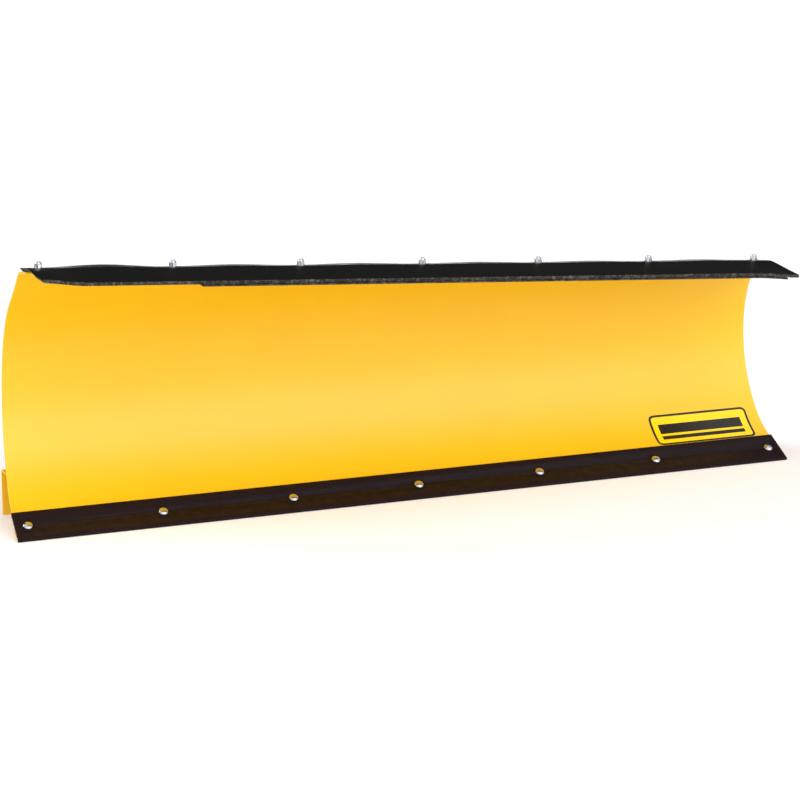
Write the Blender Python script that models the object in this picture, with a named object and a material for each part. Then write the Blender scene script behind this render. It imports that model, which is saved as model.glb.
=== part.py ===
"""Tapered snow plow blade for an ATV, standing on its wear bar and its two skid feet.

Metres, +Z up. The blade's working face looks along -Y and its length runs along X, with the tall
end at -X. The sheet is one roll whose top is trimmed on a slant, so every cross section follows the
same curve and the short end simply stops sooner.
"""

import math

import bmesh
import bpy
from mathutils import Matrix, Vector

# Wear bar
BAR_LENGTH = 1.524
BAR_HEIGHT = 0.073
BAR_THICKNESS = 0.0048
BAR_BOLT_DROP = 0.0381  # below the bar's upper edge
BAR_LEAN = math.radians(62.8)  # back from upright

# Rolled sheet: arc lengths run up the working face from the bar's lower edge
SHEET_THICKNESS = 0.003
SHEET_START = 0.017
FLAT_LENGTH = 0.0808
ROLL = ((0.138, 24), (0.249, 38), (0.221, 30), (0.197, 27))  # radius, degrees turned forward
TALL_END = 0.642
SHORT_END = 0.455
BOTTOM_HALF = BAR_LENGTH / 2 + 0.002
TOP_INSET = 0.012
TALL_END_BOW = 0.0178
SHARED_BELOW = 0.036  # rows run level up to this far below the short end's top
STATIONS = 14

# Flat lip along the slanted top edge
LIP_RISE = math.radians(8)
LIP_LENGTH = 0.048
BEND_SETBACK = 0.010

# Rubber flap
FLAP_THICKNESS = 0.006
FLAP_REAR = 0.004
FLAP_HINGE = 0.051
FLAP_FREE = 0.100
FLAP_DROOP = math.radians(12.5)  # from the lip's plane
FLAP_ENDS = ((0.0015, -0.0040), (-0.0045, 0.0085))  # rear and front corner, from the lip's ends
CORNER_TRIM = (0.030, 0.010)  # cut off the tall end's front corner: back, along
BACKING_START = 0.271  # from the tall end
BACKING_THICKNESS = 0.003
BACKING_REAR = 0.020

# Fasteners, 5/16 inch
BOLT_COUNT = 7
BOLT_INSET = 0.0254
BOLT_RADIUS = 0.00395
BOLT_HEAD_RADIUS = 0.0088
BOLT_HEAD_HEIGHT = 0.0044
NECK_SIDE = 2 * BOLT_RADIUS + 0.0001
NECK_LENGTH = 0.0042
FLAP_NECK_LENGTH = 0.0025
BAR_BOLT_LENGTH = 0.0202
FLAP_BOLT_LENGTH = 0.0212
FLAP_BOLT_LINE = 0.026
NUT_FLATS = 0.0127
NUT_HEIGHT = 0.0107
FLANGE_RADIUS = 0.0074
HOLE_RADIUS = BOLT_RADIUS + 0.0004
SHEET_HOLE_RADIUS = BOLT_RADIUS + 0.00105
NECK_CLEARANCE = 0.0004
RING = 12

# Rear angle behind the bar
ANGLE_HALF = BAR_LENGTH / 2 - 0.014
ANGLE_WEB = 0.136
ANGLE_BOTTOM = 0.005
ANGLE_TOP = 0.090
ANGLE_THICKNESS = 0.003

# Centre plate, ears and ribs
PLATE_HALF = 0.215
PLATE_THICKNESS = 0.006
EAR_SPAN = 0.152
EAR_GAP = 0.044
EAR_THICKNESS = 0.008
EAR_REACH = 0.056
EAR_BORE = 0.008
RIB_OUTER = 0.585
RIB_PLACES = (-RIB_OUTER, -EAR_SPAN, EAR_SPAN, RIB_OUTER)
RIB_THICKNESS = 0.006
RIB_BACK = 0.172
RIB_BORE = 0.0065
STIFFENER_AT = SHORT_END - 0.050
STIFFENER_DEPTH = 0.030
STIFFENER_RETURN = 0.024
STIFFENER_HALF = BAR_LENGTH / 2 - 0.062
RIB_TOP = STIFFENER_AT - 0.013

# Skid shoes
SKID_PLACE = 0.470
POST_RADIUS = 0.0095
SLEEVE_BORE = POST_RADIUS + 0.0005
SLEEVE_RADIUS = SLEEVE_BORE + 0.0059
SLEEVE_BOTTOM = 0.034
SLEEVE_TOP = 0.104
POST_BOTTOM = 0.0070
POST_TOP = 0.150
FOOT_RADIUS = 0.044
BRACKET_DEPTH = 0.030
BRACKET_HALF = 0.014
LOCK_HEIGHT = (SLEEVE_BOTTOM + SLEEVE_TOP) / 2
LOCK_RADIUS = 0.005
LOCK_FLATS = 0.016
BOSS_FLATS = 0.019
BOSS_THICKNESS = 0.008

GAP = 0.0003
BAR_PLACE = -0.0289  # the bar's lower rear edge; the rear parts are set out from the same line
CENTRE_Y = -0.012  # puts the middle of the whole depth on Y = 0

BAR_UP = Vector((0, math.sin(BAR_LEAN), math.cos(BAR_LEAN)))
BAR_FRONT = Vector((0, -math.cos(BAR_LEAN), math.sin(BAR_LEAN)))
SHEET_ORIGIN = Vector((0, CENTRE_Y + BAR_PLACE, 0)) - BAR_FRONT * GAP
WEB_FRONT = CENTRE_Y + ANGLE_WEB
WEB_BACK = WEB_FRONT + ANGLE_THICKNESS


# ---------------------------------------------------------------- scene and meshes


def clear_scene():
    for item in list(bpy.data.objects):
        bpy.data.objects.remove(item)


def new_collection(name, shown):
    made = bpy.data.collections.new(name)
    bpy.context.scene.collection.children.link(made)
    made.hide_render = not shown
    return made


def new_material(name, colour, metallic, roughness):
    made = bpy.data.materials.new(name)
    made.use_nodes = True
    shader = made.node_tree.nodes["Principled BSDF"]
    shader.inputs["Base Color"].default_value = (*colour, 1)
    shader.inputs["Metallic"].default_value = metallic
    shader.inputs["Roughness"].default_value = roughness
    return made


def add_object(name, form, material, collection, matrix=None, smooth=False):
    """One object from a bmesh, with its faces turned outward."""
    bmesh.ops.recalc_face_normals(form, faces=form.faces)
    mesh = bpy.data.meshes.new(name)
    form.to_mesh(mesh)
    form.free()
    if smooth:
        mesh.shade_smooth()
    item = bpy.data.objects.new(name, mesh)
    collection.objects.link(item)
    if matrix is not None:
        item.matrix_world = matrix
    if material is not None:
        mesh.materials.append(material)
    return item


def loft(form, rings, closed=False):
    """Joins rings of equal length; open lofts are capped, closed ones meet themselves."""
    rows = [[form.verts.new(point) for point in ring] for ring in rings]
    size = len(rings[0])
    pairs = list(zip(rows, rows[1:] + rows[:1] if closed else rows[1:]))
    for lower, upper in pairs:
        for i in range(size):
            j = (i + 1) % size
            form.faces.new((lower[i], lower[j], upper[j], upper[i]))
    if not closed:
        form.faces.new(rows[0])
        form.faces.new(rows[-1])


def circle(radius, z, count=RING, turn=0.0):
    steps = [turn + 2 * math.pi * i / count for i in range(count)]
    return [Vector((radius * math.cos(a), radius * math.sin(a), z)) for a in steps]


def polygon_ring(flats, sides, z, count=RING):
    """Ring of count points on a regular polygon that measures flats across its sides."""
    ring = []
    for i in range(count):
        angle = 2 * math.pi * i / count
        sector = 2 * math.pi / sides
        local = (angle % sector) - sector / 2
        reach = flats / 2 / math.cos(local)
        ring.append(Vector((reach * math.cos(angle), reach * math.sin(angle), z)))
    return ring


def prism(form, outline, start, end, along=0):
    """Extrudes an outline of (a, b) pairs along one axis; the pairs fill the other two axes."""
    rings = []
    for place in (start, end):
        ring = []
        for a, b in outline:
            point = [a, b]
            point.insert(along, place)
            ring.append(Vector(point))
        rings.append(ring)
    loft(form, rings)


def box(form, low, high):
    outline = [(low[1], low[2]), (high[1], low[2]), (high[1], high[2]), (low[1], high[2])]
    prism(form, outline, low[0], high[0])


def aimed(origin, z_axis, x_axis=(1, 0, 0)):
    """Frame at origin whose Z runs along z_axis and whose X stays near x_axis."""
    z = Vector(z_axis).normalized()
    y = z.cross(Vector(x_axis)).normalized()
    x = y.cross(z)
    rotation = Matrix((x, y, z)).transposed()
    return Matrix.Translation(origin) @ rotation.to_4x4()


def cut(host, cutter):
    cutter.hide_render = True
    cutter.display_type = "WIRE"
    boolean = host.modifiers.new("holes", "BOOLEAN")
    boolean.operation = "DIFFERENCE"
    boolean.solver = "EXACT"
    boolean.object = cutter


# ---------------------------------------------------------------- the rolled sheet


def sheet_point(s):
    """(y, z, lean) of the working face at arc length s; lean is the angle back from upright."""
    y = SHEET_ORIGIN.y
    z = SHEET_ORIGIN.z
    lean = BAR_LEAN
    flat = min(s, FLAT_LENGTH)
    y += flat * math.sin(lean)
    z += flat * math.cos(lean)
    left = s - flat
    for radius, sweep in ROLL:
        turn = min(left / radius, math.radians(sweep))
        y += radius * (math.cos(lean - turn) - math.cos(lean))
        z += radius * (math.sin(lean) - math.sin(lean - turn))
        lean -= turn
        left -= radius * turn
    y += left * math.sin(lean)
    z += left * math.cos(lean)
    return y, z, lean


def off_sheet(s, out):
    """(y, z) at a distance out behind the working face."""
    y, z, lean = sheet_point(s)
    return y + out * math.cos(lean), z - out * math.sin(lean)


def end_x(share, s):
    """X of the point at arc length s, share 0 at the tall end and 1 at the short end."""
    w = s / TALL_END
    tall = -BOTTOM_HALF + TOP_INSET * w + 4 * TALL_END_BOW * w * (1 - w)
    short = BOTTOM_HALF - TOP_INSET * s / SHORT_END
    return tall + (short - tall) * share


def top_corner(share, s):
    y, z, _ = sheet_point(s)
    return Vector((end_x(share, s), y, z))


TALL_CORNER = top_corner(0, TALL_END)
SHORT_CORNER = top_corner(1, SHORT_END)
TOP_LINE = (SHORT_CORNER - TALL_CORNER).normalized()
LIP_FORWARD = Vector((0, -math.cos(LIP_RISE), math.sin(LIP_RISE)))
LIP_UP = LIP_FORWARD.cross(TOP_LINE).normalized()
if LIP_UP.z < 0:
    LIP_UP = -LIP_UP
LIP_AHEAD = TOP_LINE.cross(LIP_UP).normalized()
if LIP_AHEAD.y > 0:
    LIP_AHEAD = -LIP_AHEAD


def lip_meets_sheet(share):
    """Arc length at which the roll reaches the lip's plane."""
    start = TALL_CORNER.lerp(SHORT_CORNER, share)
    low = SHORT_END - 0.08
    high = TALL_END + 0.08
    for _ in range(40):
        middle = (low + high) / 2
        y, z, _lean = sheet_point(middle)
        reach = Vector((start.x, y, z)) - start
        if reach.dot(LIP_UP) < 0:
            low = middle
        else:
            high = middle
    return low


def section(share):
    """Working-face points and outward directions of one station, bottom to lip edge."""
    top = lip_meets_sheet(share)
    shared = SHORT_END - SHARED_BELOW
    lengths = [SHEET_START]
    lengths += [FLAT_LENGTH + (shared - FLAT_LENGTH) * i / 16 for i in range(17)]
    rise = top - BEND_SETBACK - shared
    lengths += [shared + rise * i / 7 for i in range(1, 8)]
    points = []
    for s in lengths:
        y, z, lean = sheet_point(s)
        points.append((Vector((end_x(share, s), y, z)), Vector((0, math.cos(lean), -math.sin(lean)))))
    y, z, _ = sheet_point(top)
    corner = Vector((TALL_CORNER.lerp(SHORT_CORNER, share).x, y, z))
    first = points[-1][0]
    last = corner + LIP_FORWARD * BEND_SETBACK
    for t in (0.25, 0.5, 0.75):
        at = first * (1 - t) ** 2 + corner * 2 * t * (1 - t) + last * t * t
        out = points[len(lengths) - 1][1].lerp(LIP_UP, t).normalized()
        points.append((at, out))
    points.append((last, LIP_UP))
    line = TALL_CORNER.lerp(SHORT_CORNER, share)
    points.append((line + LIP_FORWARD * LIP_LENGTH, LIP_UP))
    return points


def lip_frame(along, ahead, above):
    """Frame on the lip: along from the top line's middle, ahead of it and above its underside."""
    middle = (TALL_CORNER + SHORT_CORNER) / 2
    origin = middle + TOP_LINE * along + LIP_AHEAD * ahead + LIP_UP * above
    return aimed(origin, LIP_UP, TOP_LINE)


def bolt_places(length):
    spacing = (length - 2 * BOLT_INSET) / (BOLT_COUNT - 1)
    return [(i - (BOLT_COUNT - 1) / 2) * spacing for i in range(BOLT_COUNT)]


TOP_LENGTH = (SHORT_CORNER - TALL_CORNER).length
BAR_BOLTS = bolt_places(BAR_LENGTH)
FLAP_BOLTS = bolt_places(TOP_LENGTH)


def bar_bolt_frame(along):
    """Frame on the bar's front face, Z running back through bar and sheet."""
    face = SHEET_ORIGIN + BAR_FRONT * (BAR_THICKNESS + GAP) + BAR_UP * (BAR_HEIGHT - BAR_BOLT_DROP)
    return aimed(face + Vector((along, 0, 0)), -BAR_FRONT)


def flap_bolt_frame(along):
    """Frame on the lip's underside, Z running up through lip and flap."""
    return lip_frame(along, FLAP_BOLT_LINE, 0)


def hole_cutters(name, frames, shape, collection):
    """One hidden object holding a cutter at every frame."""
    form = bmesh.new()
    for matrix in frames:
        loft(form, [[matrix @ point for point in ring] for ring in shape])
    return add_object(name, form, None, collection)


def round_hole(radius, depth):
    return [circle(radius, -depth), circle(radius, depth)]


def square_hole(depth):
    side = NECK_SIDE + 2 * NECK_CLEARANCE
    return [polygon_ring(side, 4, -depth, 8), polygon_ring(side, 4, depth, 8)]


def build_moldboard(parts, cutters, paint):
    form = bmesh.new()
    rings = []
    for i in range(STATIONS + 1):
        rows = section(i / STATIONS)
        front = [point for point, _ in rows]
        back = [point + out * SHEET_THICKNESS for point, out in rows]
        rings.append(front + back[::-1])
    loft(form, rings)
    item = add_object("moldboard", form, paint, parts)
    low = [bar_bolt_frame(x) for x in BAR_BOLTS]
    cut(item, hole_cutters("sheet_holes", low, round_hole(SHEET_HOLE_RADIUS, 0.030), cutters))
    high = [flap_bolt_frame(x) for x in FLAP_BOLTS]
    cut(item, hole_cutters("lip_holes", high, square_hole(0.020), cutters))


def build_wear_bar(parts, cutters, steel):
    form = bmesh.new()
    corner = SHEET_ORIGIN + BAR_FRONT * GAP
    outline = []
    chamfer = 0.0012
    for up, out in (
        (0, 0),
        (0, BAR_THICKNESS - chamfer),
        (chamfer, BAR_THICKNESS),
        (BAR_HEIGHT - chamfer, BAR_THICKNESS),
        (BAR_HEIGHT, BAR_THICKNESS - chamfer),
        (BAR_HEIGHT, 0),
    ):
        point = corner + BAR_UP * up + BAR_FRONT * out
        outline.append((point.y, point.z))
    prism(form, outline, -BAR_LENGTH / 2, BAR_LENGTH / 2)
    item = add_object("wear_bar", form, steel, parts)
    frames = [bar_bolt_frame(x) for x in BAR_BOLTS]
    cut(item, hole_cutters("bar_holes", frames, square_hole(0.020), cutters))


# ---------------------------------------------------------------- fasteners


def carriage_bolt_mesh(length, neck):
    """Domed head below Z = 0 (towards the viewer), square neck and shank above it."""
    form = bmesh.new()
    rings = []
    for part, depth in ((0.42, 1.0), (0.78, 0.76), (1.0, 0.26)):
        rings.append(circle(BOLT_HEAD_RADIUS * part, -GAP - BOLT_HEAD_HEIGHT * depth))
    rings.append(circle(BOLT_HEAD_RADIUS, -GAP))
    rings.append(polygon_ring(NECK_SIDE, 4, -GAP))
    rings.append(polygon_ring(NECK_SIDE, 4, neck))
    rings.append(circle(BOLT_RADIUS, neck))
    rings.append(circle(BOLT_RADIUS, length - 0.001))
    rings.append(circle(BOLT_RADIUS - 0.001, length))
    loft(form, rings)
    return form


def flange_nut_mesh():
    """Hex nut with a washer face at Z = 0 and a round locking collar on top."""
    form = bmesh.new()
    loft(
        form,
        [
            circle(HOLE_RADIUS, 0),
            circle(FLANGE_RADIUS, 0),
            circle(FLANGE_RADIUS, 0.0014),
            polygon_ring(NUT_FLATS, 6, 0.0027),
            polygon_ring(NUT_FLATS, 6, 0.0078),
            circle(0.0060, 0.0086),
            circle(0.0054, NUT_HEIGHT),
            circle(HOLE_RADIUS, NUT_HEIGHT),
        ],
        closed=True,
    )
    return form


def build_fasteners(parts, zinc):
    stack = BAR_THICKNESS + GAP + SHEET_THICKNESS
    bolt = None
    nut = None
    for i, along in enumerate(BAR_BOLTS, 1):
        frame = bar_bolt_frame(along)
        seat = frame @ Matrix.Translation((0, 0, stack + GAP))
        if bolt is None:
            form = carriage_bolt_mesh(BAR_BOLT_LENGTH, NECK_LENGTH)
            bolt = add_object("bar_bolt_1", form, zinc, parts, frame)
            nut = add_object("bar_nut_1", flange_nut_mesh(), zinc, parts, seat)
            continue
        copy_object(bolt, f"bar_bolt_{i}", frame, parts)
        copy_object(nut, f"bar_nut_{i}", seat, parts)
    bolt = None
    for i, along in enumerate(FLAP_BOLTS, 1):
        frame = flap_bolt_frame(along)
        seat = frame @ Matrix.Translation((0, 0, SHEET_THICKNESS + FLAP_THICKNESS + 2 * GAP))
        if bolt is None:
            form = carriage_bolt_mesh(FLAP_BOLT_LENGTH, FLAP_NECK_LENGTH)
            bolt = add_object("flap_bolt_1", form, zinc, parts, frame)
        else:
            copy_object(bolt, f"flap_bolt_{i}", frame, parts)
        copy_object(nut, f"flap_nut_{i}", seat, parts)


def copy_object(source, name, matrix, collection):
    item = bpy.data.objects.new(name, source.data)
    item.matrix_world = matrix
    collection.objects.link(item)
    return item


# ---------------------------------------------------------------- rubber flap


def flap_end(side, ahead):
    """Distance along the top line of one end of the flap, at a distance ahead of that line."""
    rear, front = FLAP_ENDS[side]
    reach = (ahead - FLAP_REAR) / (FLAP_HINGE + FLAP_FREE - FLAP_REAR)
    corner = (TALL_CORNER, SHORT_CORNER)[side].x
    middle = (TALL_CORNER.x + SHORT_CORNER.x) / 2
    return (corner + rear + (front - rear) * reach - middle - LIP_AHEAD.x * ahead) / TOP_LINE.x


def build_flap(parts, cutters, rubber):
    lower = SHEET_THICKNESS + GAP
    centre = lower + FLAP_THICKNESS / 2
    half = FLAP_THICKNESS / 2

    # Clamped strip, in the lip's frame: X along the top line, Y back, Z up
    form = bmesh.new()
    nose = FLAP_HINGE - half - GAP
    rings = []
    for height in (lower, lower + FLAP_THICKNESS):
        corners = []
        for side, ahead in ((0, FLAP_REAR), (1, FLAP_REAR), (1, nose), (0, nose)):
            corners.append(Vector((flap_end(side, ahead), -ahead, height)))
        rings.append(corners)
    loft(form, rings)
    item = add_object("flap_root", form, rubber, parts, lip_frame(0, 0, 0))
    holes = hole_cutters(
        "flap_holes",
        [Matrix.Translation((x, -FLAP_BOLT_LINE, 0)) for x in FLAP_BOLTS],
        round_hole(HOLE_RADIUS, 0.030),
        cutters,
    )
    holes.matrix_world = lip_frame(0, 0, 0)
    cut(item, holes)

    # Free part, in the bend line's frame: X along it, Y back, Z up, drooping from the lip
    bend = lip_frame(0, FLAP_HINGE, centre) @ Matrix.Rotation(FLAP_DROOP, 4, "X")
    form = bmesh.new()
    rows = [(-FLAP_FREE, half), (-FLAP_FREE + CORNER_TRIM[0], half), (0, half)]
    for degrees in (30, 50, 70):
        angle = math.radians(degrees)
        rows.append((half * math.sin(angle), half * math.cos(angle)))
    rings = []
    for i, (y, thick) in enumerate(rows):
        tall = flap_end(0, FLAP_HINGE - y) + (CORNER_TRIM[1] if i == 0 else 0)
        short = flap_end(1, FLAP_HINGE - y)
        corners = ((tall, thick), (short, thick), (short, -thick), (tall, -thick))
        rings.append([Vector((x, y, z)) for x, z in corners])
    loft(form, rings)
    add_object("flap_free", form, rubber, parts, bend)

    # Second ply under the free part, from nearly a fifth of the length to the short end
    form = bmesh.new()
    start = BACKING_START - TOP_LENGTH / 2
    upper = -half - GAP
    front = -FLAP_FREE - 0.0025
    outline = [
        (front, upper),
        (front, upper - BACKING_THICKNESS),
        (-BACKING_REAR, upper - BACKING_THICKNESS),
        (-BACKING_REAR, upper),
    ]
    rings = [[Vector((start, y, z)) for y, z in outline]]
    rings.append([Vector((flap_end(1, FLAP_HINGE - y) - 0.010, y, z)) for y, z in outline])
    loft(form, rings)
    add_object("flap_backing", form, rubber, parts, bend)


# ---------------------------------------------------------------- rear frame


def sheet_length_at(height, low=0.09, high=0.40):
    """Arc length at which the sheet's rear face reaches a height above the floor."""
    for _ in range(40):
        middle = (low + high) / 2
        if off_sheet(middle, SHEET_THICKNESS)[1] < height:
            low = middle
        else:
            high = middle
    return low


def build_rear_angle(parts, paint):
    form = bmesh.new()
    t = ANGLE_THICKNESS
    web = WEB_FRONT
    upper = off_sheet(sheet_length_at(ANGLE_TOP), SHEET_THICKNESS + GAP)[0] + 0.0003
    under = off_sheet(sheet_length_at(ANGLE_TOP - t), SHEET_THICKNESS + GAP)[0] + 0.0003
    bend = 0.005
    outline = [
        (upper, ANGLE_TOP),
        (web + t - bend, ANGLE_TOP),
        (web + t - 0.0015, ANGLE_TOP - 0.0015),
        (web + t, ANGLE_TOP - bend),
        (web + t, ANGLE_BOTTOM),
        (web, ANGLE_BOTTOM),
        (web, ANGLE_TOP - t),
        (under, ANGLE_TOP - t),
    ]
    prism(form, outline, -ANGLE_HALF, ANGLE_HALF)
    add_object("rear_angle", form, paint, parts)


def build_upper_stiffener(parts, paint):
    """Small formed angle, welded on edge across the sheet's back below the short end's lip."""
    y, z, lean = sheet_point(STIFFENER_AT)
    up = Vector((math.sin(lean), math.cos(lean)))
    out = Vector((math.cos(lean), -math.sin(lean)))
    base = Vector((y, z)) + out * (SHEET_THICKNESS + GAP)
    t = 0.003
    corners = (
        (t / 2, 0.0002),
        (t / 2, STIFFENER_DEPTH - 0.002),
        (t / 2 - 0.002, STIFFENER_DEPTH),
        (t / 2 - STIFFENER_RETURN, STIFFENER_DEPTH),
        (t / 2 - STIFFENER_RETURN, STIFFENER_DEPTH - t),
        (-t / 2, STIFFENER_DEPTH - t),
        (-t / 2, 0.0002),
    )
    outline = []
    for along, away in corners:
        point = base + up * along + out * away
        outline.append((point.x, point.y))
    form = bmesh.new()
    prism(form, outline, -STIFFENER_HALF, STIFFENER_HALF)
    add_object("upper_stiffener", form, paint, parts)


def build_ribs(parts, cutters, paint):
    low = sheet_length_at(ANGLE_TOP + GAP)
    steps = 14
    inner = []
    for i in range(steps + 1):
        s = low + (RIB_TOP - low) * i / steps
        inner.append(off_sheet(s, SHEET_THICKNESS + GAP + 0.0004))
    inner[0] = (inner[0][0], ANGLE_TOP + GAP)
    back = CENTRE_Y + RIB_BACK
    outline = [
        *inner,
        off_sheet(RIB_TOP, 0.024),
        off_sheet(RIB_TOP - 0.085, 0.042),
        (back, ANGLE_TOP + 0.050),
        (WEB_BACK - 0.002, ANGLE_TOP + GAP),
    ]
    for i, x in enumerate(RIB_PLACES, 1):
        form = bmesh.new()
        prism(form, outline, x - RIB_THICKNESS / 2, x + RIB_THICKNESS / 2)
        item = add_object(f"rib_{i}", form, paint, parts)
        if abs(x) > EAR_SPAN:
            continue
        y, z = off_sheet(RIB_TOP - 0.075, 0.026)
        bore = aimed(Vector((x, y, z)), (1, 0, 0), (0, 1, 0))
        cut(item, hole_cutters(f"rib_{i}_hole", [bore], round_hole(RIB_BORE, 0.02), cutters))


def build_centre_mount(parts, cutters, paint):
    back = WEB_BACK + GAP
    form = bmesh.new()
    box(form, (-PLATE_HALF, back, 0.012), (PLATE_HALF, back + PLATE_THICKNESS, ANGLE_TOP - 0.003))
    add_object("centre_plate", form, paint, parts)
    start = back + PLATE_THICKNESS + GAP
    rows = 6
    number = 0
    for side in (-EAR_SPAN, EAR_SPAN):
        for half in (-1, 1):
            number += 1
            x = side + half * (EAR_GAP + EAR_THICKNESS) / 2
            nose = 0.019
            middle = (start + EAR_REACH - nose, 0.052)
            outline = [(start, 0.020)]
            for i in range(rows + 1):
                angle = -math.pi / 2 + math.pi * i / rows
                outline.append((middle[0] + nose * math.cos(angle), middle[1] + nose * math.sin(angle)))
            outline.append((start, 0.086))
            form = bmesh.new()
            prism(form, outline, x - EAR_THICKNESS / 2, x + EAR_THICKNESS / 2)
            item = add_object(f"hinge_ear_{number}", form, paint, parts)
            bore = aimed(Vector((x, middle[0], middle[1])), (1, 0, 0), (0, 1, 0))
            shape = [circle(EAR_BORE, -0.02, 24), circle(EAR_BORE, 0.02, 24)]
            cut(item, hole_cutters(f"ear_{number}_bore", [bore], shape, cutters))


# ---------------------------------------------------------------- skid shoes


def build_skid(side, label, parts, cutters, paint, zinc, steel):
    x = side * SKID_PLACE
    web = WEB_BACK + GAP
    y = web + BRACKET_DEPTH + GAP + SLEEVE_RADIUS
    count = 20
    place = Vector((x, y, 0))
    lock = aimed(Vector((x, y, LOCK_HEIGHT)), (0, 1, 0))

    form = bmesh.new()
    low = (x - BRACKET_HALF, web, SLEEVE_BOTTOM + 0.006)
    box(form, low, (x + BRACKET_HALF, web + BRACKET_DEPTH, ANGLE_TOP))
    add_object(f"skid_bracket_{label}", form, paint, parts)

    form = bmesh.new()
    loft(
        form,
        [
            circle(SLEEVE_BORE, SLEEVE_BOTTOM, count),
            circle(SLEEVE_RADIUS, SLEEVE_BOTTOM, count),
            circle(SLEEVE_RADIUS, SLEEVE_TOP, count),
            circle(SLEEVE_BORE, SLEEVE_TOP, count),
        ],
        closed=True,
    )
    sleeve = add_object(f"skid_sleeve_{label}", form, paint, parts, Matrix.Translation(place))
    reach = [circle(LOCK_RADIUS + GAP, 0.006), circle(LOCK_RADIUS + GAP, 0.020)]
    cut(sleeve, hole_cutters(f"sleeve_{label}_hole", [lock], reach, cutters))

    form = bmesh.new()
    seat = SLEEVE_RADIUS + GAP
    loft(
        form,
        [
            circle(LOCK_RADIUS + GAP, seat),
            polygon_ring(BOSS_FLATS, 6, seat),
            polygon_ring(BOSS_FLATS, 6, seat + BOSS_THICKNESS),
            circle(LOCK_RADIUS + GAP, seat + BOSS_THICKNESS),
        ],
        closed=True,
    )
    add_object(f"skid_boss_{label}", form, paint, parts, lock)

    form = bmesh.new()
    head = seat + BOSS_THICKNESS + 0.007
    loft(
        form,
        [
            circle(LOCK_RADIUS - 0.0015, POST_RADIUS + GAP),
            circle(LOCK_RADIUS, POST_RADIUS + 0.002),
            circle(LOCK_RADIUS, head),
            polygon_ring(LOCK_FLATS, 6, head),
            polygon_ring(LOCK_FLATS, 6, head + 0.0058),
            circle(LOCK_FLATS * 0.47, head + 0.0066),
        ],
    )
    add_object(f"lock_bolt_{label}", form, zinc, parts, lock)

    form = bmesh.new()
    loft(
        form,
        [
            circle(POST_RADIUS - 0.001, POST_BOTTOM, count),
            circle(POST_RADIUS, POST_BOTTOM + 0.001, count),
            circle(POST_RADIUS, POST_TOP - 0.0015, count),
            circle(POST_RADIUS - 0.0015, POST_TOP, count),
        ],
    )
    add_object(f"skid_post_{label}", form, zinc, parts, Matrix.Translation(place))

    form = bmesh.new()
    hub = POST_RADIUS + GAP
    count = 32
    loft(
        form,
        [
            circle(hub, POST_BOTTOM - GAP, count),
            circle(hub, 0.020, count),
            circle(hub + 0.0045, 0.020, count),
            circle(hub + 0.0055, 0.0062, count),
            circle(FOOT_RADIUS - 0.016, 0.0062, count),
            circle(FOOT_RADIUS - 0.0045, 0.0165, count),
            circle(FOOT_RADIUS, 0.0135, count),
            circle(FOOT_RADIUS - 0.0140, 0.0000, count),
        ],
    )
    add_object(f"skid_foot_{label}", form, steel, parts, Matrix.Translation(place))


def main():
    clear_scene()
    parts = new_collection("atv_plow_blade", True)
    cutters = new_collection("cutters", False)
    paint = new_material("yellow_powder_coat", (0.95, 0.52, 0.015), 0, 0.38)
    bar_black = new_material("black_paint", (0.015, 0.012, 0.011), 0, 0.45)
    rubber = new_material("black_rubber", (0.012, 0.012, 0.012), 0, 0.55)
    zinc = new_material("zinc_plated_steel", (0.62, 0.64, 0.66), 1, 0.28)
    foot_steel = new_material("painted_foot", (0.02, 0.02, 0.02), 0, 0.5)
    build_moldboard(parts, cutters, paint)
    build_wear_bar(parts, cutters, bar_black)
    build_fasteners(parts, zinc)
    build_flap(parts, cutters, rubber)
    build_rear_angle(parts, paint)
    build_upper_stiffener(parts, paint)
    build_ribs(parts, cutters, paint)
    build_centre_mount(parts, cutters, paint)
    build_skid(-1, "left", parts, cutters, paint, zinc, foot_steel)
    build_skid(1, "right", parts, cutters, paint, zinc, foot_steel)


main()
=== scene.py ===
"""Visual model of a tapered snow plow blade for an ATV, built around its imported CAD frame.

Everything is in metres, in the frame's own axes: the working face looks along -Y, the length runs
along X with the tall end at -X, and the blade stands on its wear bar and its two skid feet.
"""

import math

import bmesh
import bpy
from bpy.props import FloatProperty, FloatVectorProperty, IntProperty, PointerProperty
from mathutils import Matrix, Vector


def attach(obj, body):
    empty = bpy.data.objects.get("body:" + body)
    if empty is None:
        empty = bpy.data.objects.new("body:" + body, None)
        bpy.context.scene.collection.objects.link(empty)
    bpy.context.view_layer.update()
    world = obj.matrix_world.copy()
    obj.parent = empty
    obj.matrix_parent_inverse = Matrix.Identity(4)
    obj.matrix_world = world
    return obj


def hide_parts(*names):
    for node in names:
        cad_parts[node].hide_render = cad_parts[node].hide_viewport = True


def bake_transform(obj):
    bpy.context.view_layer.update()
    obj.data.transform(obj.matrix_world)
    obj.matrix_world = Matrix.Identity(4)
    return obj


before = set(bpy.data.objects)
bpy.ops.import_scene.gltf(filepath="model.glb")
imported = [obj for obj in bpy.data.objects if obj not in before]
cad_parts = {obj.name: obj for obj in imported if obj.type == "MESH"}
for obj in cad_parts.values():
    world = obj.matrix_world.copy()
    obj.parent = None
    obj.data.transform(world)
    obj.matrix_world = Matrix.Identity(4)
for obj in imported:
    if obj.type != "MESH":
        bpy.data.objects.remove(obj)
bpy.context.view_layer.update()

bl_info = {
    "name": "ATV plow blade",
    "version": (1, 0, 0),
    "blender": (4, 5, 0),
    "location": "3D Viewport > Sidebar > Plow Blade",
    "description": "Builds a tapered snow plow blade with a rubber flap and skid shoes",
    "category": "Object",
}

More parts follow.
